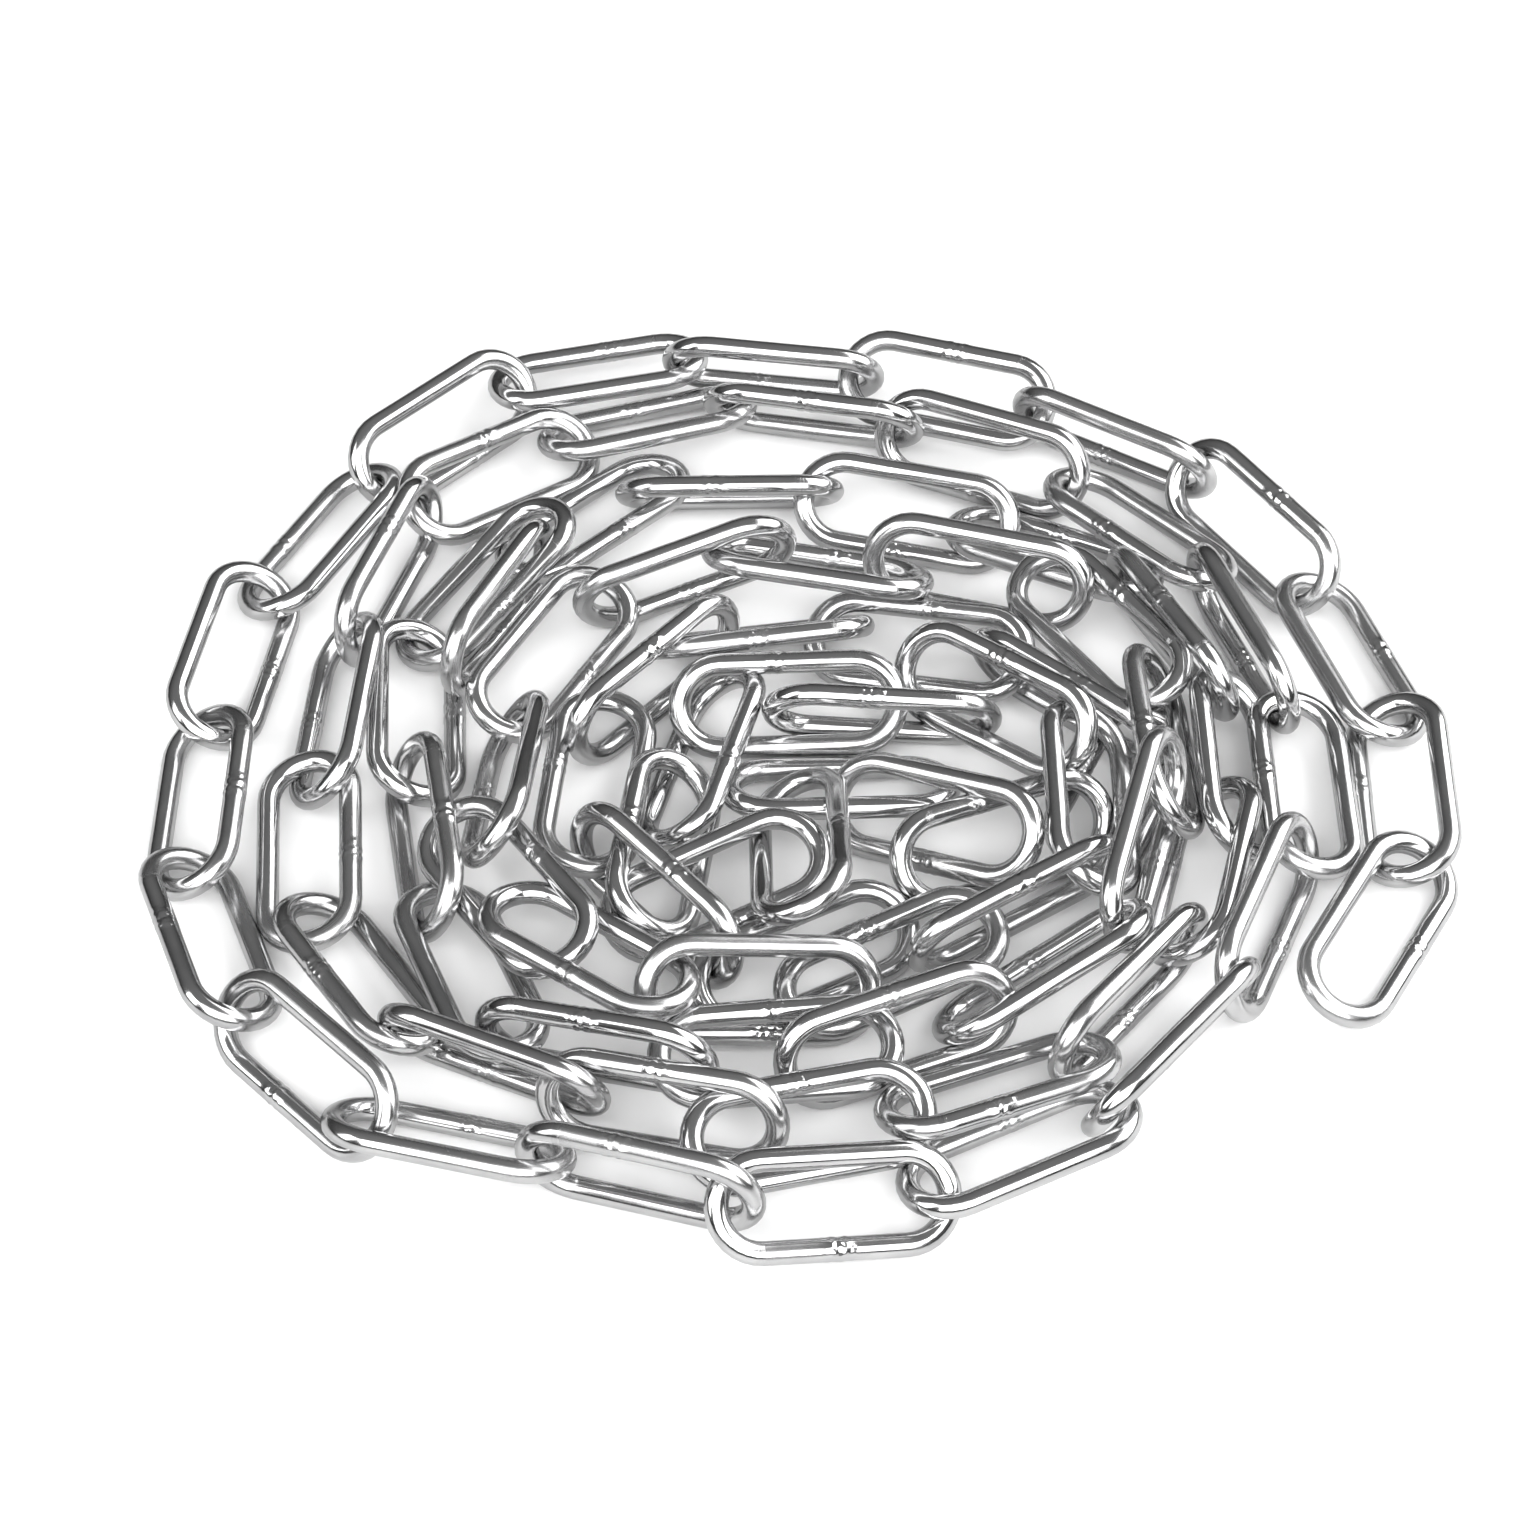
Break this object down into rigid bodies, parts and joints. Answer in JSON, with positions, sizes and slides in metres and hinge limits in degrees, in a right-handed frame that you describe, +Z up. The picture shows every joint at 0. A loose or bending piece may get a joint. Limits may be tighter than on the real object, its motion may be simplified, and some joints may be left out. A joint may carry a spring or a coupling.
{
  "type": "heap of steel chain",
  "caption": "Loose length of polished steel long-link chain, laid down in a flat spiral heap with a tangled middle and both ends free.",
  "frame": {"origin": "on the floor under the middle of the heap's outline", "axes": "+Z up from the floor, +X to the right in the picture, +Y away from the camera"},
  "size_m": [0.2297, 0.213, 0.0283],
  "materials": {
    "polished_steel": "polished"
  },
  "bodies": {
    "root": {"link_pair_01": "polished_steel", "link_pair_02": "polished_steel", "link_pair_03": "polished_steel", "link_pair_04": "polished_steel", "link_pair_05": "polished_steel", "link_pair_06": "polished_steel", "link_pair_07": "polished_steel", "link_pair_08": "polished_steel", "link_pair_09": "polished_steel", "link_pair_10": "polished_steel", "link_pair_11": "polished_steel", "link_pair_12": "polished_steel", "link_pair_13": "polished_steel", "link_pair_14": "polished_steel", "link_pair_15": "polished_steel", "link_pair_16": "polished_steel", "link_pair_17": "polished_steel", "link_pair_18": "polished_steel", "link_pair_19": "polished_steel", "link_pair_20": "polished_steel", "link_pair_21": "polished_steel", "link_pair_22": "polished_steel", "link_pair_23": "polished_steel", "link_pair_24": "polished_steel", "link_pair_25": "polished_steel", "link_pair_26": "polished_steel", "link_pair_27": "polished_steel", "link_pair_28": "polished_steel", "link_pair_29": "polished_steel", "link_pair_30": "polished_steel", "link_pair_31": "polished_steel", "link_pair_32": "polished_steel", "link_pair_33": "polished_steel", "link_pair_34": "polished_steel", "link_pair_35": "polished_steel", "link_pair_36": "polished_steel", "link_pair_37": "polished_steel", "link_pair_38": "polished_steel", "link_pair_39": "polished_steel", "link_pair_40": "polished_steel", "link_pair_41": "polished_steel", "link_pair_42": "polished_steel"}
  },
  "joints": []
}
